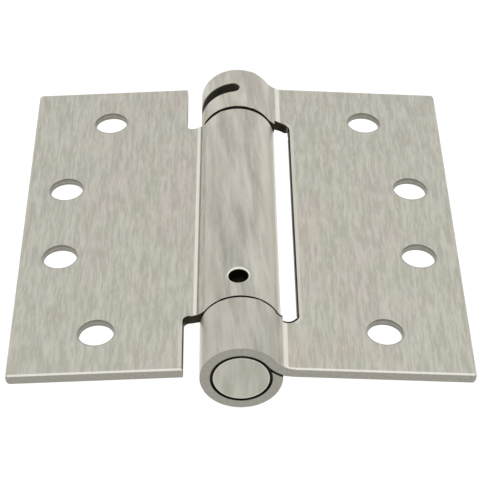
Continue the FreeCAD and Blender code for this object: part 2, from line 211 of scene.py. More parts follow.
def grain_group():
    """Brushing along the pin: fine streaks, longer soft ones, broad patches of tint and a few scratches.

    The place turns about the pin by Slant radians for each millimetre along it and sways sideways by up to
    0.25 mm. Divided by the streaks' width and length it gives the grid for the noise of the streaks.
    """
    tree, given, made = new_group(
        "Brushed grain",
        [("Place", "Vector"), ("Streak width", "Float"), ("Streak length", "Float"), ("Slant", "Float")],
        ["Streaks", "Scratches", "Patches", "Height"],
    )
    place = given.outputs["Place"]
    turn = reckon(tree, "MULTIPLY", split(tree, place)[1], given.outputs["Slant"])
    turned = put(tree, "ShaderNodeVectorRotate", {"Vector": place, "Angle": turn}, rotation_type="Y_AXIS")
    sway = linear(tree, noise(tree, place, 0.09, Detail=1.0), -0.25, 0.5)
    swayed = {0: turned.outputs[0], 1: joined(tree, sway)}
    moved = put(tree, "ShaderNodeVectorMath", swayed, operation="ADD").outputs[0]
    width, length = given.outputs["Streak width"], given.outputs["Streak length"]
    cells = {0: moved, 1: joined(tree, width, length, width)}
    grid = put(tree, "ShaderNodeVectorMath", cells, operation="DIVIDE").outputs[0]

    fine = noise(tree, grid, 1.0, Detail=4.0, Roughness=0.68)
    long = noise(tree, grid, 0.42, Detail=1.0, Roughness=0.5)
    thin = noise(tree, grid, 0.82, Detail=1.0, Distortion=0.2)
    broad = put(tree, "ShaderNodeMapping", {"Vector": place, "Scale": (0.085, 0.05, 0.085)}).outputs[0]
    patches = noise(tree, broad, 1.0, Detail=3.0)
    streaks = reckon(tree, "MULTIPLY_ADD", fine, 0.5, reckon(tree, "MULTIPLY", long, 0.5))
    results = {
        "Streaks": ramp(tree, streaks, 0.36, 0.64),
        "Scratches": ramp(tree, thin, 0.62, 0.74),
        "Patches": ramp(tree, patches, 0.5, 0.68),
        "Height": streaks,
    }
    return give(tree, made, results)


def arris_highlight_group():
    """Painted highlights on the arrises: a narrow round is found where the normal lies between two flat
    faces.

    On the plate the share is 4 n^2 (1 - n^2) of the normal's upright part n, and on the barrel of its part
    along the pin, so both are 0 on a flat face and 1 half way round the edge. The barrel's and the outer
    side's arrises are fainter, and the screw holes have none.
    """
    tree, given, made = new_group("Painted arris highlights", [("Place", "Vector"), ("Normal", "Vector")], ["Arris highlight"])
    x, y, _ = split(tree, given.outputs["Place"])
    _, along, up = split(tree, given.outputs["Normal"])

    def halfway(part):
        square = both(tree, part, part)
        return reckon(tree, "MULTIPLY", both(tree, square, minus(tree, 1.0, square)), 4.0, clamp=True)

    end = reckon(tree, "ABSOLUTE", y)
    from_holes = [length_of(tree, minus(tree, x, reach), minus(tree, end, place)) for reach, place in SCREWS]
    nearest = reckon(tree, "MINIMUM", *from_holes)
    clear_of_holes = ramp(tree, nearest, SCREW_HOLE + 1.05, SCREW_HOLE + 1.45)
    off_the_side = linear(tree, ramp(tree, x, REACH - 0.45, REACH - 0.75), 0.35, 0.65)
    plate = both(tree, halfway(up), off_the_side, clear_of_holes)
    barrel = reckon(tree, "MULTIPLY", halfway(along), 0.3)
    on_plate = reckon(tree, "GREATER_THAN", x, BEND_REACH)
    share = reckon(tree, "MULTIPLY_ADD", minus(tree, plate, barrel), on_plate, barrel)
    return give(tree, made, {"Arris highlight": ramp(tree, share, 0.25, 0.9)})


# Zones of a leaf. What their ramps add to a size sets where a zone's soft border begins and ends.

ZONES = ("Cut", "Gap shade", "Front highlight", "Lip", "Brink shade", "Wall shade", "Slot", "Hollow highlight", "Crease shade", "Rim highlight", "Barrel", "Flank light")


def leaf_place(tree, given):
    """Where a point of a leaf lies and how its normal stands, as named sockets.

    end is the distance from mid-height, and front the height that grows towards the hinge's lower end: -y on
    the jamb leaf and y on the door leaf. from_bend and from_pin_hole are measured from those two's middles.
    """
    jamb = given.outputs["Jamb"]
    x, y, z = split(tree, given.outputs["Place"])
    side, along, up = split(tree, given.outputs["Normal"])
    front_way = linear(tree, jamb, 1.0, -2.0)
    front = both(tree, y, front_way)
    return SimpleNamespace(
        x=x,
        y=y,
        z=z,
        end=reckon(tree, "ABSOLUTE", y),
        front=front,
        front_way=front_way,
        front_half=ramp(tree, front, 0.0, 5.0),
        radius=length_of(tree, x, z),
        from_bend=length_of(tree, minus(tree, x, BEND_REACH), minus(tree, z, BEND_RISE)),
        from_pin_hole=length_of(tree, x, minus(tree, y, PIN_PLACE)),
        up=up,
        up_size=reckon(tree, "ABSOLUTE", up),
        side_size=reckon(tree, "ABSOLUTE", side),
        along_size=reckon(tree, "ABSOLUTE", along),
        jamb=jamb,
        door=minus(tree, 1.0, jamb),
    )


def sheared_faces(tree, at):
    """Ends of the leaf, and the walls of its holes and cut-outs."""
    upright = both(tree, ramp(tree, at.up_size, 0.5, 0.3), ramp(tree, at.radius, BARREL + 0.15, BARREL + 0.3))
    return either(tree, upright, ramp(tree, at.along_size, 0.6, 0.85))


def knuckle_room(tree, at, cut):
    """Beside the room for the other leaf's knuckle: painted shade on the cut face and its arris, and the
    lighter lip.

    A point's depth in the sheet is the length of its way past the middle of a rounded corner, less the
    corner's radius. The jamb leaf's window has the same corner at both ends, where the arris widens, and
    more so at the front one.
    """
    past_window = length_of(tree, beyond(tree, at.x, RELIEF_REACH), beyond(tree, at.end, RELIEF_PLACE))
    past_notch = length_of(
        tree, beyond(tree, at.x, NOTCH_REACH), beyond(tree, at.y, NOTCH_PLACE, "MINIMUM")
    )
    round_end = ramp(tree, at.end, RELIEF_PLACE, RELIEF_PLACE + 2.4)
    wider = linear(tree, at.front_half, -0.28, -0.18)
    past_widened = reckon(tree, "MULTIPLY_ADD", round_end, wider, past_window)

    window_line = both(tree, ramp(tree, past_widened, RELIEF + 0.3, RELIEF + 0.18), at.jamb)
    notch_line = both(
        tree,
        ramp(tree, past_notch, NOTCH + 0.3, NOTCH + 0.18),
        ramp(tree, at.x, NOTCH_REACH - 0.5, NOTCH_REACH),
        at.front_half,
        at.door,
    )
    clear_of_barrel = ramp(tree, at.x, BARREL - 0.1, BARREL + 0.1)
    line = both(tree, either(tree, window_line, notch_line), clear_of_barrel)

    window_face = both(tree, ramp(tree, past_window, RELIEF + 0.1, RELIEF + 0.05), at.jamb)
    notch_face = both(tree, ramp(tree, past_notch, NOTCH + 0.1, NOTCH + 0.05), at.front_half, at.door)
    face = both(tree, cut, either(tree, window_face, notch_face))
    short_of_end = ramp(tree, at.end, HALF_HEIGHT - 0.3, HALF_HEIGHT - 0.45)
    # Painted shade on the cut face and along its arris, short of the leaf's ends.
    dark = both(tree, either(tree, line, face), short_of_end)

    window_lip = both(tree, ramp(tree, past_widened, RELIEF + 1.3, RELIEF + 0.9), at.jamb)
    notch_lip = both(
        tree,
        ramp(tree, past_notch, NOTCH + 1.5, NOTCH + 1.1),
        ramp(tree, at.y, NOTCH_PLACE + 0.05, NOTCH_PLACE + 3.05),
        at.door,
    )
    lip = both(
        tree,
        either(tree, window_lip, notch_lip),
        ramp(tree, at.x, SETBACK - 1.05, SETBACK - 0.45),
        ramp(tree, at.end, HALF_HEIGHT - 0.65, HALF_HEIGHT - 1.15),
    )
    return dark, lip


def front_arris_highlight(tree, at):
    """A painted highlight on the arris over the sheared front end, on the plate."""
    return both(
        tree,
        ramp(tree, at.front, HALF_HEIGHT - 0.75, HALF_HEIGHT - 0.55),
        ramp(tree, at.up, 0.6, 0.8),
        ramp(tree, at.x, BARREL + 0.1, BARREL + 0.7),
        ramp(tree, at.z, SEAT - 0.5, SEAT - 0.3),
    )


def screw_hole_shades(tree, at, cut):
    """Painted shade on the screw holes' brinks on the front side, and on the top and the foot of their walls.
    """
    way = both(tree, reckon(tree, "SIGN", at.y), at.front_way)
    brinks, walls = [], []
    for reach, place in SCREWS:
        past = minus(tree, at.end, place)
        from_axis = length_of(tree, minus(tree, at.x, reach), past)
        front_side = ramp(tree, both(tree, past, way), -2.5, 1.5)
        brinks.append(both(tree, ramp(tree, from_axis, SCREW_HOLE + 0.5, SCREW_HOLE + 0.25), front_side))
        walls.append(ramp(tree, from_axis, SCREW_HOLE + 0.35, SCREW_HOLE + 0.25))
    brink_shade = both(tree, either(tree, *brinks), ramp(tree, at.up, 0.6, 0.8))
    foot_or_top = either(
        tree, ramp(tree, at.z, MID_SHEET, MID_SHEET - 0.35), ramp(tree, at.z, SEAT - 0.8, SEAT - 0.45)
    )
    return brink_shade, both(tree, either(tree, *walls), cut, foot_or_top)


def front_foot(tree, at):
    """The shaded foot of the sheared front end, at 0.6 of a hole wall's shade."""
    return both(
        tree,
        ramp(tree, at.front, HALF_HEIGHT - 0.55, HALF_HEIGHT - 0.25),
        ramp(tree, at.z, UNDERSIDE + 0.5, UNDERSIDE + 0.2),
        ramp(tree, at.x, SETBACK - 1.55, SETBACK - 0.55),
        0.6,
    )


def inner_gap_shade(tree, at):
    """Painted shade in the bore, in the seam at the roll's end, and on the jamb leaf's edge beside the gap
    that the bend covers.
    """
    bore = ramp(tree, at.radius, BORE + 0.24, BORE + 0.14)
    seam = both(
        tree,
        ramp(tree, at.from_bend, UNDER_BEND - 0.26, UNDER_BEND - 0.16),
        ramp(tree, at.from_bend, SEAM + 0.2, SEAM + 0.1),
        ramp(tree, at.radius, BARREL + 0.05, BARREL - 0.1),
        ramp(tree, at.z, SEAT + 0.5, SEAT + 0.3),
        ramp(tree, at.x, 2.0, 3.0),
    )
    covered_gap = both(
        tree,
        ramp(tree, at.end, LOWER_FACE + 0.95, LOWER_FACE + 0.75),
        ramp(tree, at.x, BARREL - 2.4, BARREL - 1.4),
        ramp(tree, at.radius, BARREL + 1.4, BARREL + 1.2),
        at.front_half,
        at.jamb,
    )
    return either(tree, covered_gap, bore, seam)


def pin_hole_light_and_shade(tree, at):
    """Painted shade on the pin hole's wall, and a painted highlight on its rim, which fades towards the
    front. The hole is open above only.
    """
    above = both(tree, ramp(tree, at.z, 0.0, 1.0), at.door)
    wall_shade = both(tree, ramp(tree, at.from_pin_hole, PIN_HOLE + 0.15, PIN_HOLE + 0.07), above)
    rim_highlight = both(
        tree,
        ramp(tree, at.from_pin_hole, PIN_HOLE + 0.6, PIN_HOLE + 0.45),
        ramp(tree, at.from_pin_hole, PIN_HOLE + 0.07, PIN_HOLE + 0.15),
        above,
        linear(tree, ramp(tree, at.y, PIN_PLACE + 1.1, PIN_PLACE - 1.5), 0.25, 0.75),
    )
    return wall_shade, rim_highlight


def slot_wall_shade(tree, at):
    """Painted shade on the walls of the tension slot, in from the barrel's outside."""
    in_slot = ramp(tree, apart(tree, at.y, SLOT_PLACE), SLOT_HALF + 0.16, SLOT_HALF + 0.1)
    return both(tree, in_slot, ramp(tree, at.radius, BARREL - 0.08, BARREL - 0.16), at.jamb)


def bend_light_and_shade(tree, at):
    """A painted highlight line in the hollow bend, and the door leaf's painted shade line in the crease
    beside it, towards the barrel.

    The highlight line's middle is at x = start + taper y, where the two leaves differ a little.
    """
    start, taper = linear(tree, at.jamb, 10.93, 0.03), linear(tree, at.jamb, 0.0083, -0.0025)
    middle = reckon(tree, "MULTIPLY_ADD", at.y, taper, start)
    off_the_ends = ramp(tree, at.along_size, 0.3, 0.2)
    from_middle = both(tree, apart(tree, at.x, middle), linear(tree, at.jamb, 1.0, -0.25))
    hollow_highlight = both(
        tree,
        ramp(tree, at.from_bend, BEND + 0.15, BEND + 0.08),
        off_the_ends,
        ramp(tree, from_middle, 0.58, 0.32),
    )
    from_crease = apart(tree, at.x, minus(tree, middle, 0.72))
    above_seat = ramp(tree, at.z, SEAT, SEAT + 0.2)
    return hollow_highlight, both(tree, ramp(tree, from_crease, 0.34, 0.1), off_the_ends, at.door, above_seat)


def barrel_faces(tree, at):
    """Outside of the knuckles, and painted light on their flanks, where the normal turns aside: fainter on
    the upper one.
    """
    barrel = both(
        tree,
        ramp(tree, at.radius, BARREL + 0.15, BARREL + 0.05),
        ramp(tree, at.radius, BARREL - 0.2, BARREL - 0.1),
        ramp(tree, at.along_size, 0.6, 0.3),
    )
    gentle, strong = ramp(tree, at.side_size, 0.35, 1.0), ramp(tree, at.side_size, 0.66, 0.96)
    flank = reckon(tree, "MULTIPLY_ADD", strong, 0.36, reckon(tree, "MULTIPLY", gentle, 0.47))
    upper_knuckle = both(tree, ramp(tree, at.y, 30.0, 45.0), at.jamb)
    return barrel, both(tree, barrel, flank, linear(tree, upper_knuckle, 1.0, -0.7))


def zones_group():
    """Zones of one leaf, in its own flat frame. Jamb is 1 on the jamb leaf and 0 on the door leaf.

    Cut: sheared ends and hole walls, greyed by painted shade. Gaps: painted shade between the leaves, in the
    bore,
    the seam and the pin hole. Front: a painted highlight on the arris over the front end. Lip: the lighter
    band beside the room for the other leaf's knuckle. Brink: painted shade on the screw holes' brinks. Wall:
    painted shade at the edges of their walls and the front end's foot. Slot: painted shade on the tension
    slot's walls.
    Hollow and Crease: the painted highlight and the painted shade line in the bend. Rim: a painted highlight
    on the pin hole's rim. Barrel: the outside of the knuckles. Steep: painted light on their flanks.
    """
    inputs = [("Place", "Vector"), ("Normal", "Vector"), ("Jamb", "Float")]
    tree, given, made = new_group("Leaf zones", inputs, ZONES)
    at = leaf_place(tree, given)
    cut = sheared_faces(tree, at)
    knuckle_room_shade, lip = knuckle_room(tree, at, cut)
    brink_shade, wall_shade = screw_hole_shades(tree, at, cut)
    pin_wall_shade, rim_highlight = pin_hole_light_and_shade(tree, at)
    hollow_highlight, crease_shade = bend_light_and_shade(tree, at)
    barrel, flank_light = barrel_faces(tree, at)
    results = {
        "Cut": cut,
        "Gap shade": either(tree, knuckle_room_shade, inner_gap_shade(tree, at), pin_wall_shade),
        "Front highlight": front_arris_highlight(tree, at),
        "Lip": lip,
        "Brink shade": brink_shade,
        "Wall shade": either(tree, wall_shade, front_foot(tree, at)),
        "Slot": slot_wall_shade(tree, at),
        "Hollow highlight": hollow_highlight,
        "Crease shade": crease_shade,
        "Rim highlight": rim_highlight,
        "Barrel": barrel,
        "Flank light": flank_light,
    }
    return give(tree, made, results)


grain, arris_highlights, zones = grain_group(), arris_highlight_group(), zones_group()


# Finishes


def rgb(red, green, blue):
    """A colour given as screen values from 0 to 255, made linear."""
    share = np.array((red, green, blue)) / 255
    linear_share = np.where(share <= 0.04045, share / 12.92, ((share + 0.055) / 1.055) ** 2.4)
    return (*map(float, linear_share), 1.0)


def new_material(name, metallic, roughness):
    """A material with a bare shader. Its own values stay on the shader's sockets."""
    material = bpy.data.materials.new(name)
    material.use_nodes = True
    shader = material.node_tree.nodes["Principled BSDF"]
    shader.inputs["Metallic"].default_value = metallic
    shader.inputs["Roughness"].default_value = roughness
    return material, material.node_tree, shader


def own_frame(tree, turn=(0, 0, 0)):
    """Place in millimetres and normal, both turned into the piece's own flat frame."""
    given = tree.nodes.new("ShaderNodeTexCoord")
    place = {0: given.outputs["Object"], "Rotation": turn, "Scale": (1000, 1000, 1000)}
    normal = {0: given.outputs["Normal"], "Rotation": turn}
    return tuple(put(tree, "ShaderNodeMapping", inputs).outputs[0] for inputs in (place, normal))


def vary_roughness(tree, shader, share, at_zero, at_one):
    """Roughness that runs from one value to another with a share."""
    rough = put(tree, "ShaderNodeMapRange", {"Value": share, "To Min": at_zero, "To Max": at_one})
    tree.links.new(rough.outputs[0], shader.inputs["Roughness"])


def relief(tree, shader, height, strength, depth):
    """A fine relief, depth metres at most."""
    bump = put(tree, "ShaderNodeBump", {"Height": height, "Strength": strength, "Distance": depth})
    tree.links.new(bump.outputs[0], shader.inputs["Normal"])


# Coats over a leaf's brushed faces, the first one lowest: zone (or the arris highlight), strength and tint.
# All are painted light or shade: painted shade on hole walls, brinks, the crease, the gaps and the slot, and
# painted highlights in the hollow, over the front end, on the pin hole's rim and on the arrises
LEAF_COATS = (
    ("Wall shade", 0.6, (112, 109, 101)),
    ("Brink shade", 0.45, (142, 137, 131)),
    ("Hollow highlight", 1.0, (226, 223, 213)),
    ("Front highlight", 0.85, (232, 229, 221)),
    ("Crease shade", 0.65, (104, 100, 90)),
    ("Rim highlight", 1.0, (238, 235, 223)),
    ("Arris highlight", 0.8, (228, 225, 214)),
    ("Gap shade", 1.0, (46, 42, 33)),
    ("Slot", 1.0, (106, 102, 90)),
)


def sheet_colour(tree, sheet, lip):
    """Fine streaks in greenish and pinkish patches, a few bright scratches, and the lighter lip."""
    green = blend(tree, sheet["Streaks"], rgb(175, 173, 161), rgb(194, 191, 180))
    pink = blend(tree, sheet["Streaks"], rgb(177, 171, 161), rgb(195, 189, 179))
    colour = blend(tree, sheet["Patches"], green, pink)
    colour = coat(tree, colour, sheet["Scratches"], 0.3, rgb(212, 209, 198))
    return coat(tree, colour, lip, 0.55, rgb(214, 211, 202))


def knuckle_colour(tree, sheet, roll, flank_light, along, jamb):
    """Broad streaks in warm and cool patches, a trace of the sheet's fine ones, and painted light on the
    flanks.

    The jamb leaf's upper knuckle is a little lighter, and its lower one a little darker.
    """
    cool = blend(tree, roll["Streaks"], rgb(160, 158, 147), rgb(201, 199, 187))
    warm = blend(tree, roll["Streaks"], rgb(161, 156, 146), rgb(200, 194, 184))
    colour = blend(tree, roll["Patches"], warm, cool)
    coats = (
        (roll["Scratches"], 0.4, (214, 211, 200)),
        (sheet["Streaks"], 0.3, (190, 187, 176)),
        (flank_light, 1.0, (242, 239, 227)),
        (ramp(tree, along, 30.0, 45.0), 0.13 * jamb, (236, 233, 222)),
        (ramp(tree, along, -30.0, -45.0), 0.15 * jamb, (158, 154, 146)),
    )
    for share, strength, tint in coats:
        colour = coat(tree, colour, share, strength, rgb(*tint))
    return colour


def satin_leaf(name, turn, jamb):
    """Satin sheet: brushed faces, broader streaks on the knuckles, sheared ends greyed by painted shade, and
    painted shade in the gaps.
    """
    material, tree, shader = new_material(name, 0.9, 0.45)
    place, normal = own_frame(tree, turn)
    parts = use_group(tree, zones, {"Place": place, "Normal": normal, "Jamb": jamb})
    arris_lit = use_group(tree, arris_highlights, {"Place": place, "Normal": normal})["Arris highlight"]
    fine = {"Place": place, "Streak width": 0.34, "Streak length": 3.0, "Slant": 0.0}
    broad = {"Place": place, "Streak width": 1.9, "Streak length": 14.0, "Slant": 0.0088}
    sheet, roll = use_group(tree, grain, fine), use_group(tree, grain, broad)
    plate = sheet_colour(tree, sheet, parts["Lip"])
    knuckle = knuckle_colour(tree, sheet, roll, parts["Flank light"], split(tree, place)[1], jamb)
    # Painted shade: the sheared ends and hole walls take a greyer copy of the sheet's colour.
    sheared_shade = blend(tree, sheet["Streaks"], rgb(148, 145, 136), rgb(156, 153, 144))
    colour = blend(tree, parts["Cut"], blend(tree, parts["Barrel"], plate, knuckle), sheared_shade)
    # Coats of painted shade and painted highlight, laid one over another.
    for zone, strength, tint in LEAF_COATS:
        share = arris_lit if zone == "Arris highlight" else parts[zone]
        colour = coat(tree, colour, share, strength, rgb(*tint))
    tree.links.new(colour, shader.inputs["Base Color"])
    vary_roughness(tree, shader, sheet["Streaks"], at_zero=0.5, at_one=0.42)
    relief(tree, shader, sheet["Height"], strength=0.12, depth=0.0001)
    return material


def satin_plug():
    """Satin end plug: brushed face with a painted highlight on its rim, and painted shade in the ring groove
    and on its back.
    """
    face_radius = BORE - 0.6
    material, tree, shader = new_material("satin_plug", 0.9, 0.45)
    place, _ = own_frame(tree)
    x, y, z = split(tree, place)
    stroke = {"Place": joined(tree, x, z, y), "Streak width": 1.5, "Streak length": 9.0, "Slant": 0.0}
    brushing = use_group(tree, grain, stroke)
    radius = length_of(tree, x, z)
    sunk = ramp(tree, reckon(tree, "ABSOLUTE", y), HALF_HEIGHT - 0.25, HALF_HEIGHT - 0.4)
    groove_shade = either(tree, sunk, ramp(tree, radius, face_radius - 0.01, face_radius + 0.04))
    rim_highlight = ramp(tree, radius, face_radius - 0.32, face_radius - 0.16)
    colour = blend(tree, brushing["Streaks"], rgb(166, 163, 152), rgb(184, 181, 171))
    colour = blend(tree, rim_highlight, colour, rgb(196, 193, 183))
    colour = blend(tree, groove_shade, colour, rgb(38, 34, 26))
    tree.links.new(colour, shader.inputs["Base Color"])
    relief(tree, shader, brushing["Height"], strength=0.1, depth=0.0001)
    return material


def turned_finish(name, dark, light, metallic, roughness, ring_width):
    """Turned metal: fine rings round the pin, and cloudy patches where oil sits."""
    material, tree, shader = new_material(name, metallic, roughness)
    place, _ = own_frame(tree)
    x, y, z = split(tree, place)
    rings = noise(tree, joined(tree, length_of(tree, x, z), y), 1 / ring_width, Detail=2.0)
    cloud = noise(tree, place, 0.35, Detail=4.0)
    share = reckon(tree, "MULTIPLY_ADD", rings, 0.5, reckon(tree, "MULTIPLY", cloud, 0.5))
    colour = blend(tree, ramp(tree, share, 0.35, 0.65), dark, light)
    tree.links.new(colour, shader.inputs["Base Color"])
    vary_roughness(tree, shader, cloud, at_zero=roughness - 0.1, at_one=roughness + 0.12)
    relief(tree, shader, rings, strength=0.2, depth=0.00005)
    return material


jamb_satin = satin_leaf("satin_jamb", (0, 0, 0), 1.0)
door_satin = satin_leaf("satin_door", DOOR_TURN, 0.0)
plug_satin = satin_plug()

# Dark and light tint, metallic, roughness, and the width of a turned ring in millimetres
black = turned_finish("black_oxide", rgb(84, 80, 70), rgb(104, 99, 87), 0.4, 0.5, 0.25)
deep_black = turned_finish("oiled_black", rgb(34, 31, 25), rgb(50, 46, 38), 0.5, 0.5, 0.25)
# The bushes' oiled bronze and the thrust washer are kept dark, in part as painted shade for the knuckle gaps
# they fill.
bronze_gap_shade = turned_finish("oiled_bronze_gap_shade", rgb(38, 32, 22), rgb(60, 50, 36), 0.7, 0.45, 0.2)
washer_gap_shade = turned_finish("washer_darkened_as_gap_shade", rgb(44, 40, 33), rgb(62, 58, 50), 0.8, 0.4, 0.2)
tempered = turned_finish("tempered_wire", rgb(52, 46, 40), rgb(96, 86, 74), 0.85, 0.38, 0.15)


# Leaves and plugs


def new_object(name, data):
    """An object of the scene, at the origin."""
    thing = bpy.data.objects.new(name, data)
    bpy.context.scene.collection.objects.link(thing)
    return thing


def into_own_frame(turn):
    """Turn from the row frame into a leaf's own flat frame, about Y and then about Z."""
    return Matrix.Rotation(turn[2], 3, "Z") @ Matrix.Rotation(turn[1], 3, "Y")


def own_places(mesh, turn):
    """The mesh's points in millimetres, turned into the leaf's own flat frame, and the turn as an array."""
    points = np.empty(len(mesh.vertices) * 3)
    mesh.vertices.foreach_get("co", points)
    into = np.array(into_own_frame(turn))
    return 1000 * points.reshape(-1, 3) @ into.T, into


def unit(vectors):
    """The vectors with their lengths made 1."""
    return vectors / np.maximum(np.linalg.norm(vectors, axis=-1, keepdims=True), 1e-12)


def true_normals(mesh, turn, rounded):
    """Normals of the rolled surfaces themselves at each face corner, in place of the facets'.

    On the barrel a normal is the point's own direction from the pin, and in the bore its opposite. In the
    bend it is the direction from or to the bend's middle. A flat face keeps its own, any other curved
    face takes the mean of its neighbours within 30 degrees, and a round takes the mean of what meets there.
    """
    places, into = own_places(mesh, turn)
    count = len(mesh.polygons)
    flat = np.empty(count * 3)
    mesh.polygons.foreach_get("normal", flat)
    flat = flat.reshape(-1, 3) @ into.T
    area = np.empty(count)
    mesh.polygons.foreach_get("area", area)
    corners = np.empty(len(mesh.loops), int)
    mesh.loops.foreach_get("vertex_index", corners)
    totals = np.empty(count, int)
    mesh.polygons.foreach_get("loop_total", totals)
    face = np.repeat(np.arange(count), totals)
    at, own = places[corners], flat[face]

    # Rolled faces, all of whose corners lie on one of the section's arcs
    off_by, alike = 0.02, 0.9
    from_pin = at * (1, 0, 1)
    from_bend = from_pin - (BEND_REACH, 0, BEND_RISE)
    surfaces = [
        (from_pin, BARREL, 1),
        (from_pin, BORE, -1),
        (from_bend, BEND, -1),
        (from_bend, UNDER_BEND, 1),
        (from_bend, SEAM, -1),
    ]
    normals, settled = own.copy(), np.zeros(len(corners), bool)
    for arm, radius, way in surfaces:
        exact = way * unit(arm)
        near = (np.abs(np.linalg.norm(arm, axis=-1) - radius) < off_by) & ((exact * own).sum(-1) > alike)
        whole = np.bincount(face, near, count) == totals
        chosen = whole[face] & ~settled & ~rounded[face]
        normals[chosen] = exact[chosen]
        settled |= chosen
    square_on = 0.99999
    settled |= (np.abs(flat).max(-1) > square_on)[face] & ~rounded[face]

    # For each point, the face corners that meet there
    order = np.argsort(corners, kind="stable")
    starts = np.searchsorted(corners[order], np.arange(len(places) + 1))
    steps = starts[:-1, None] + np.arange(np.diff(starts).max())
    valid = steps < starts[1:, None]
    meeting = order[np.minimum(steps, len(order) - 1)]

    def mean_of(these, allowed):
        """Mean of the normals that meet at each of these corners, weighted by area, where allowed."""
        others = meeting[corners[these]]
        share = valid[corners[these]] & allowed(these, others)
        weight = share * area[face[others]] ** 0.5
        return unit((normals[others] * weight[..., None]).sum(1)), share.any(1)

    within = math.cos(math.radians(30))
    loose = np.flatnonzero(~settled & ~rounded[face])
    mean, found = mean_of(loose, lambda these, others: (own[others] * own[these][:, None]).sum(-1) > within)
    smoothed = normals.copy()
    smoothed[loose[found]] = mean[found]
    normals = smoothed
    edges = np.flatnonzero(rounded[face])
    mean, found = mean_of(edges, lambda these, others: ~rounded[face[others]])
    middle, _ = mean_of(edges, lambda these, others: rounded[face[others]])
    normals[edges] = np.where(found[:, None], mean, middle)
    return unit(normals) @ into


def merged_copy(node):
    """A CAD node's mesh with its loose triangles joined, and flat faces made one."""
    shape = bmesh.new()
    shape.from_mesh(frame["nodes"][node].data)
    bmesh.ops.remove_doubles(shape, verts=shape.verts, dist=2e-6)
    bmesh.ops.dissolve_limit(shape, angle_limit=math.radians(0.3), verts=shape.verts, edges=shape.edges)
    return shape


def is_arris(edge, into):
    """An outer sharp edge. Those in the bore, the seam, the pin hole and the reliefs' steps stay crisp."""
    if len(edge.link_faces) != 2 or edge.calc_face_angle(0) < math.radians(50):
        return False
    for vertex in edge.verts:
        x, y, z = 1000 * (into @ vertex.co)
        radius, bend = math.hypot(x, z), math.hypot(x - BEND_REACH, z - BEND_RISE)
        in_bore = radius < BARREL - 0.3
        in_seam = UNDER_BEND - 0.1 < bend < SEAM + 0.1 and radius < BARREL + 0.3
        in_pin_hole = math.hypot(x, y - PIN_PLACE) < PIN_HOLE + 0.95 and z > 0
        if in_bore or in_seam or in_pin_hole:
            return False
    x, y, _ = 1000 * (into @ (edge.verts[0].co + edge.verts[1].co) / 2)
    return abs(abs(y) - RELIEF_PLACE) > 0.2 or abs(x - SETBACK) > 0.2


def narrow_holes(mesh, turn):
    """Screw holes with a slight taper, as punched.

    A point of a hole's wall or brink moves towards the hole's axis by at_seat + slope (SEAT - z), so the land
    is narrower at its foot than at the seating face. The countersink's rim lies further out and stays.
    """
    at_seat, slope, limit = 0.12, 0.1, SCREW_HOLE + 0.55
    places, into = own_places(mesh, turn)
    for reach, along in SCREWS:
        axis = np.stack([np.full(len(places), reach), np.sign(places[:, 1]) * along], 1)
        arm = places[:, :2] - axis
        radius = np.linalg.norm(arm, axis=1)
        shift = np.where(radius < limit, at_seat + slope * (SEAT - places[:, 2]), 0)
        places[:, :2] -= arm * (shift / radius)[:, None]
    mesh.vertices.foreach_set("co", (places @ into / 1000).ravel())


def dress(node, body, material, width, turn=(0, 0, 0)):
    """A merged copy of a CAD node stands for it, with its outer arrises broken by a narrow round."""
    shape = merged_copy(node)
    into = into_own_frame(turn)
    mark = shape.faces.layers.int.new("round")
    made = bmesh.ops.bevel(
        shape,
        geom=[edge for edge in shape.edges if is_arris(edge, into)],
        offset=width,
        offset_type="OFFSET",
        segments=2,
        profile=0.5,
        affect="EDGES",
        clamp_overlap=False,
    )
    for face in made["faces"]:
        face[mark] = 1
    mesh = bpy.data.meshes.new(f"{node}_satin")
    shape.to_mesh(mesh)
    shape.free()
    mesh.materials.clear()
    mesh.materials.append(material)
    rounded = np.zeros(len(mesh.polygons), bool)
    mesh.attributes["round"].data.foreach_get("value", rounded)
    if node.endswith("leaf"):
        narrow_holes(mesh, turn)
    mesh.shade_smooth()
    mesh.normals_split_custom_set(true_normals(mesh, turn, rounded))
    piece = new_object(f"{node}_satin", mesh)
    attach(piece, body)
    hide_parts(node)


# Spring


def wire_surface(centre, out, rise, half):
    """Tube of rounded square section along a path, closed at both ends.

    A point is centre(t) + half (a out(t) + b rise(t)), where (a, b) = (sign cos s |cos s|^k, sign sin s
    |sin s|^k) with k = 0.35 runs round the section. At both ends the section shrinks to its middle.
    """
    around, k = 24, 0.35
    s = np.linspace(0, 2 * math.pi, around, endpoint=False) + math.pi / around
    a = np.sign(np.cos(s)) * np.abs(np.cos(s)) ** k
    b = np.sign(np.sin(s)) * np.abs(np.sin(s)) ** k
    scale = np.ones(len(centre) + 2)
    scale[[0, -1]] = 0
    rows = np.r_[0, np.arange(len(centre)), len(centre) - 1]
    spread = a[None, :, None] * out[rows, None] + b[None, :, None] * rise[rows, None]
    points = centre[rows, None] + half * scale[:, None, None] * spread
    row = np.arange(len(rows) - 1)[:, None] * around
    step = np.arange(around)[None, :]
    after = (step + 1) % around
    faces = np.stack([row + step, row + after, row + around + after, row + around + step], -1)
    return points.reshape(-1, 3), faces.reshape(-1, 4)


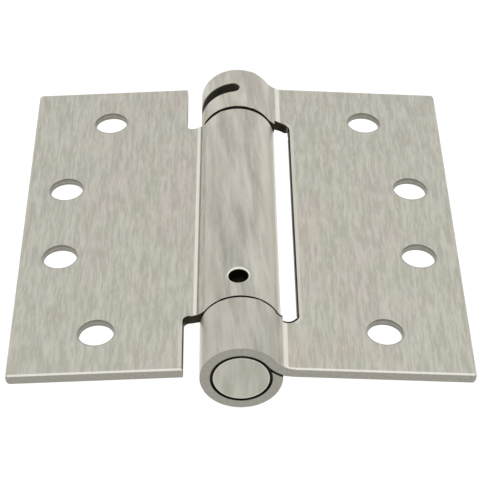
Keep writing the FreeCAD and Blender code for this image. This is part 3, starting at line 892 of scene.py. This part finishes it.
def spring_piece():
    """Torsion spring: a smooth coil of square wire with a tang along the pin at each end.

    The coil's middle at turn t is (r cos p, y0 + q t, -r sin p) with p = -2 pi t - droop, and the tangs run
    straight along the pin at t = 0 and t = the last turn.
    """
    half, r, turns, steps_in_turn = 0.00145, 0.00555, 13, 36
    low, top, tang = -0.02415, 0.02585, 0.0026  # ends of the coil, and how far a tang stands out of it
    pitch = (top - low - 2 * half) / turns
    t = np.linspace(0, turns, turns * steps_in_turn + 1)
    p = -2 * math.pi * t - DROOP
    out = np.stack([np.cos(p), 0 * p, -np.sin(p)], -1)
    up = np.array([0.0, 1.0, 0.0])
    along = np.tile(up, (len(t), 1))
    shells = [wire_surface(r * out + along * (low + half + pitch * t)[:, None], out, along, half)]
    for start, stop in ((low - tang, low + half), (top - half, top + tang)):
        y = np.linspace(start, stop, 5)
        first = np.tile(out[0], (len(y), 1))
        across = np.tile(np.cross(up, out[0]), (len(y), 1))
        shells.append(wire_surface(r * first + np.outer(y, up), first, across, half))
    starts = np.cumsum([0] + [len(points) for points, _ in shells[:-1]])
    points = np.concatenate([points for points, _ in shells])
    faces = np.concatenate([faces + start for (_, faces), start in zip(shells, starts)])
    mesh = bpy.data.meshes.new("torsion_coil")
    mesh.from_pydata(points.tolist(), [], faces.tolist())
    shape = bmesh.new()
    shape.from_mesh(mesh)
    bmesh.ops.remove_doubles(shape, verts=shape.verts, dist=1e-7)
    bmesh.ops.recalc_face_normals(shape, faces=shape.faces)
    shape.to_mesh(mesh)
    shape.free()
    mesh.shade_smooth()
    mesh.materials.append(tempered)
    piece = new_object("torsion_coil", mesh)
    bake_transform(piece)
    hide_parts("torsion_spring")


def repaint(node, material):
    """A CAD node keeps its shape and takes a better finish."""
    piece = frame["nodes"][node]
    if not piece.material_slots:
        piece.data.materials.append(material)
    for holder in piece.material_slots:
        holder.material = material


LEAF_ROUND, PLUG_ROUND = 0.00028, 0.00018  # widths of the broken arrises
dress("jamb_leaf", "jamb", jamb_satin, LEAF_ROUND)
dress("door_leaf", "door", door_satin, LEAF_ROUND, DOOR_TURN)
dress("upper_plug", "jamb", plug_satin, PLUG_ROUND)
dress("lower_plug", "jamb", plug_satin, PLUG_ROUND)
spring_piece()
for node, finish in {
    "tension_collar": black,
    "spring_anchor": deep_black,
    "anchor_pin": deep_black,
    "upper_bush": bronze_gap_shade,
    "lower_bush": bronze_gap_shade,
    "thrust_washer": washer_gap_shade,
}.items():
    repaint(node, finish)


# Studio


def pale_floor():
    """Wide pale floor well below the hinge."""
    reach, height = 4.0, -0.16
    corners = [(x * reach, y * reach, height) for x, y in ((-1, -1), (1, -1), (1, 1), (-1, 1))]
    mesh = bpy.data.meshes.new("floor")
    mesh.from_pydata(corners, [], [(0, 1, 2, 3)])
    material, _, shader = new_material("pale_floor", 0.0, 0.9)
    shader.inputs["Base Color"].default_value = (0.93, 0.93, 0.925, 1)
    shader.inputs["Emission Color"].default_value = (1, 1, 1, 1)
    shader.inputs["Emission Strength"].default_value = 0.12
    mesh.materials.append(material)
    floor = new_object("floor", mesh)


def soft_sky():
    """Soft studio surround, a little brighter overhead than at the horizon."""
    world = bpy.data.worlds.new("studio")
    bpy.context.scene.world = world
    world.use_nodes = True
    tree = world.node_tree
    given = tree.nodes.new("ShaderNodeTexCoord")
    overhead = ramp(tree, split(tree, given.outputs["Generated"])[2], -0.2, 0.9)
    sky = tree.nodes["Background"]
    tree.links.new(blend(tree, overhead, (0.95, 0.95, 0.95, 1), (1.02, 1.02, 1.02, 1)), sky.inputs["Color"])
    sky.inputs["Strength"].default_value = 1.0


def soft_light(name, place, target, size, power):
    """A square soft light that faces its target."""
    lamp = bpy.data.lights.new(name, "AREA")
    lamp.size, lamp.energy = size, power
    light = new_object(name, lamp)
    light.location = place
    light.rotation_euler = (Vector(target) - Vector(place)).to_track_quat("-Z", "Y").to_euler()


def long_lens_camera():
    """Camera in front of the lower end and above it, with a long lens.

    Its own axes come from azimuth, elevation and roll about the middle of the view, and then turn about
    the pin with the hinge, which stands 2.88 degrees out of level.
    """
    azimuth, elevation, roll, lean = (math.radians(angle) for angle in (-0.89, 40.93, 0.46, 2.88))
    distance, target = 0.4647, Vector((0.00021, -0.00594, 0))
    flat_way = Vector((math.sin(azimuth), -math.cos(azimuth), 0))
    back = math.cos(elevation) * flat_way + math.sin(elevation) * Vector((0, 0, 1))
    level = Vector((0, 0, 1)).cross(back).normalized()
    upright = back.cross(level)
    right = math.cos(roll) * level + math.sin(roll) * upright
    top = math.cos(roll) * upright - math.sin(roll) * level
    axes = Matrix((right, top, back)).transposed().to_4x4()
    lens = bpy.data.cameras.new("camera")
    lens.sensor_width, lens.lens = 36, 131.99
    lens.clip_start, lens.clip_end = 0.01, 50
    camera = new_object("camera", lens)
    camera.matrix_world = Matrix.Rotation(-lean, 4, "Y") @ Matrix.Translation(target + distance * back) @ axes
    bpy.context.scene.camera = camera


pale_floor()
soft_sky()
soft_light("overhead", place=(0.1, 0.1, 0.9), target=(0, 0, 0), size=0.9, power=0.6)
long_lens_camera()
bpy.context.scene.view_settings.view_transform = "Standard"
